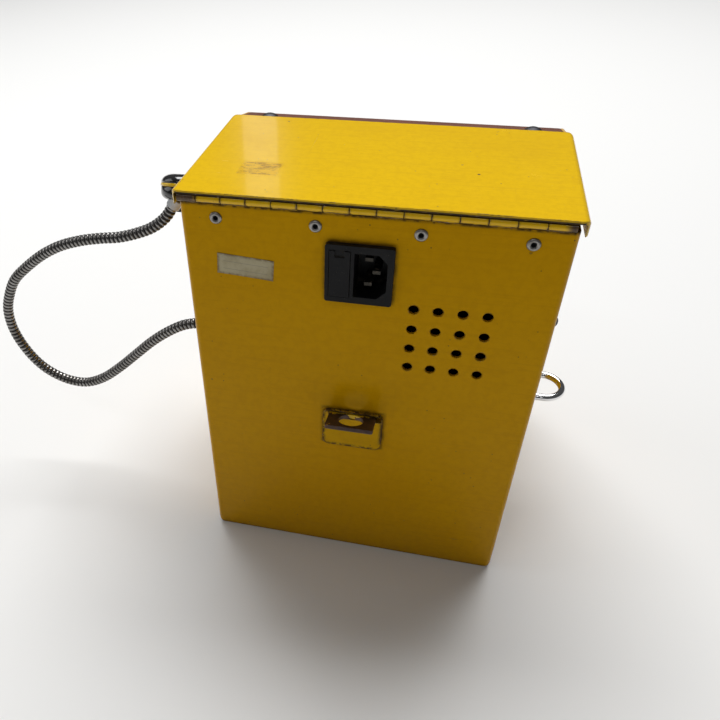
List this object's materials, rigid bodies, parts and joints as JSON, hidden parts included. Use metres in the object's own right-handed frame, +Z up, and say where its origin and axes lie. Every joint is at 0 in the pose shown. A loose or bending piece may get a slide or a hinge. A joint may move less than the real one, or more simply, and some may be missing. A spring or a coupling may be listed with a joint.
{
  "type": "ticket vending machine",
  "caption": "Counter-top ticket vending machine: yellow sheet-steel case with hinged lid, sloping console, ticket printer, coin drawer with bent-rod pull, and a corded handset in a side cradle.",
  "frame": {"origin": "centre of the underside of the case", "axes": "+X to the right for a user facing the console, +Y to the back with the power inlet and hinge, +Z up"},
  "size_m": [0.3903, 0.2178, 0.254],
  "materials": {
    "yellow_paint": "gloss",
    "red_brown_paint": "satin",
    "black_gloss": "gloss",
    "black_matte": "matte",
    "dark_screw": "satin",
    "zinc_steel": "satin",
    "rivet_steel": "satin",
    "worn_steel": "worn",
    "bright_chrome": "polished",
    "hose_steel": "polished",
    "psu_can": "satin",
    "brass": "satin",
    "blade": "satin",
    "green_board": "satin",
    "window": "clear",
    "green_button": "gloss",
    "red_button": "gloss",
    "white_plastic": "satin",
    "light_grey": "satin",
    "platen_rubber": "matte",
    "paper": "matte",
    "card": "matte",
    "label": "satin"
  },
  "bodies": {
    "case": {"case_shell": "yellow_paint", "front_panel": "yellow_paint", "console_fascia": "red_brown_paint", "fascia_screws": "dark_screw", "case_screws": "dark_screw", "case_hinge_leaf": "yellow_paint", "hinge_pin": "worn_steel", "hinge_rivets": "rivet_steel", "lid_lock_housing": "bright_chrome", "anchor_plate": "yellow_paint", "anchor_tongue": "worn_steel", "asset_label": "label", "power_inlet": "black_matte", "inlet_pins": "blade", "power_supply": "psu_can", "control_board": "green_board", "display_module": "black_matte", "display_window": "window", "button_bezels": "black_gloss", "coin_slot_plate": "zinc_steel", "coin_acceptor": "black_matte", "reject_chute": "zinc_steel", "return_cup": "black_matte", "drawer_guide": "zinc_steel", "roll_bracket": "zinc_steel", "roll_spindle": "zinc_steel", "printer_frame": "zinc_steel", "print_head": "black_matte", "stepper_motor": "psu_can", "ticket_bezel": "black_gloss", "handset_cradle": "black_matte", "cord_gland": "zinc_steel", "handset_cord": "hose_steel"},
    "lid": {"lid_cover": "yellow_paint", "lid_hinge_leaf": "yellow_paint", "lid_catch": "zinc_steel"},
    "lid_lock": {"lid_lock_cylinder": "bright_chrome"},
    "fuse_carrier": {"fuse_drawer": "black_matte"},
    "drawer": {"cash_drawer": "yellow_paint", "drawer_pull": "bright_chrome"},
    "drawer_lock": {"drawer_lock_cylinder": "bright_chrome"},
    "button_1": {"select_button_1": "green_button"},
    "button_2": {"select_button_2": "green_button"},
    "button_3": {"select_button_3": "green_button"},
    "coin_return": {"coin_return_button": "red_button"},
    "flap": {"return_flap": "zinc_steel"},
    "roll": {"ticket_roll": "paper", "roll_core": "card"},
    "platen": {"platen_roller": "platen_rubber", "platen_gear": "white_plastic"},
    "pinion": {"motor_pinion": "brass"},
    "handset": {"handset_upper": "black_gloss", "handset_lower": "black_gloss", "handset_trim": "yellow_paint", "handset_caps": "black_matte", "handset_ferrule": "light_grey"},
    "hook": {"hook_plunger": "white_plastic"}
  },
  "joints": [
    {"name": "lid_hinge", "type": "hinge", "parent": "case", "child": "lid", "pos_m": [0, 0.0959, 0.25], "axis": [-1, 0, 0], "range_deg": [0, 100]},
    {"name": "lid_lock_turn", "type": "hinge", "parent": "case", "child": "lid_lock", "pos_m": [-0.094, -0.004, 0.226], "axis": [-1, 0, 0], "range_deg": [0, 90]},
    {"name": "fuse_drawer_slide", "type": "slide", "parent": "case", "child": "fuse_carrier", "axis": [0, 1, 0], "range_m": [0, 0.018]},
    {"name": "cash_drawer_slide", "type": "slide", "parent": "case", "child": "drawer", "axis": [-1, 0, 0], "range_m": [0, 0.1]},
    {"name": "drawer_lock_turn", "type": "hinge", "parent": "drawer", "child": "drawer_lock", "pos_m": [-0.095, 0.0025, 0.101], "axis": [1, 0, 0], "range_deg": [0, 90]},
    {"name": "select_button_1_press", "type": "slide", "parent": "case", "child": "button_1", "axis": [0, 0.9287, -0.3709], "range_m": [0, 0.0025], "stiffness_N_per_m": 300},
    {"name": "select_button_2_press", "type": "slide", "parent": "case", "child": "button_2", "axis": [0, 0.9287, -0.3709], "range_m": [0, 0.0025], "stiffness_N_per_m": 300},
    {"name": "select_button_3_press", "type": "slide", "parent": "case", "child": "button_3", "axis": [0, 0.9287, -0.3709], "range_m": [0, 0.0025], "stiffness_N_per_m": 300},
    {"name": "coin_return_press", "type": "slide", "parent": "case", "child": "coin_return", "axis": [0, 0.9287, -0.3709], "range_m": [0, 0.0025], "stiffness_N_per_m": 300},
    {"name": "return_flap_swing", "type": "hinge", "parent": "case", "child": "flap", "pos_m": [-0.062, -0.0912, 0.0575], "axis": [1, 0, 0], "range_deg": [0, 70]},
    {"name": "ticket_roll_spin", "type": "hinge", "parent": "case", "child": "roll", "pos_m": [0.052, 0.015, 0.075], "axis": [1, 0, 0], "continuous": true},
    {"name": "platen_spin", "type": "hinge", "parent": "case", "child": "platen", "pos_m": [0.052, -0.076, 0.066], "axis": [1, 0, 0], "continuous": true},
    {"name": "motor_pinion_spin", "type": "hinge", "parent": "case", "child": "pinion", "pos_m": [0.0852, -0.06055, 0.05436], "axis": [1, 0, 0], "continuous": true},
    {"name": "handset_lift", "type": "slide", "parent": "case", "child": "handset", "axis": [0, -0.4067, 0.9135], "range_m": [0, 0.04], "deforming": ["handset_cord"]},
    {"name": "hook_rise", "type": "slide", "parent": "case", "child": "hook", "axis": [0, -0.4067, 0.9135], "range_m": [0, 0.003]}
  ],
  "couplings": [
    {"joint": "motor_pinion_spin", "follows": "platen_spin", "ratio": -2},
    {"joint": "hook_rise", "follows": "handset_lift", "ratio": 0.075}
  ]
}
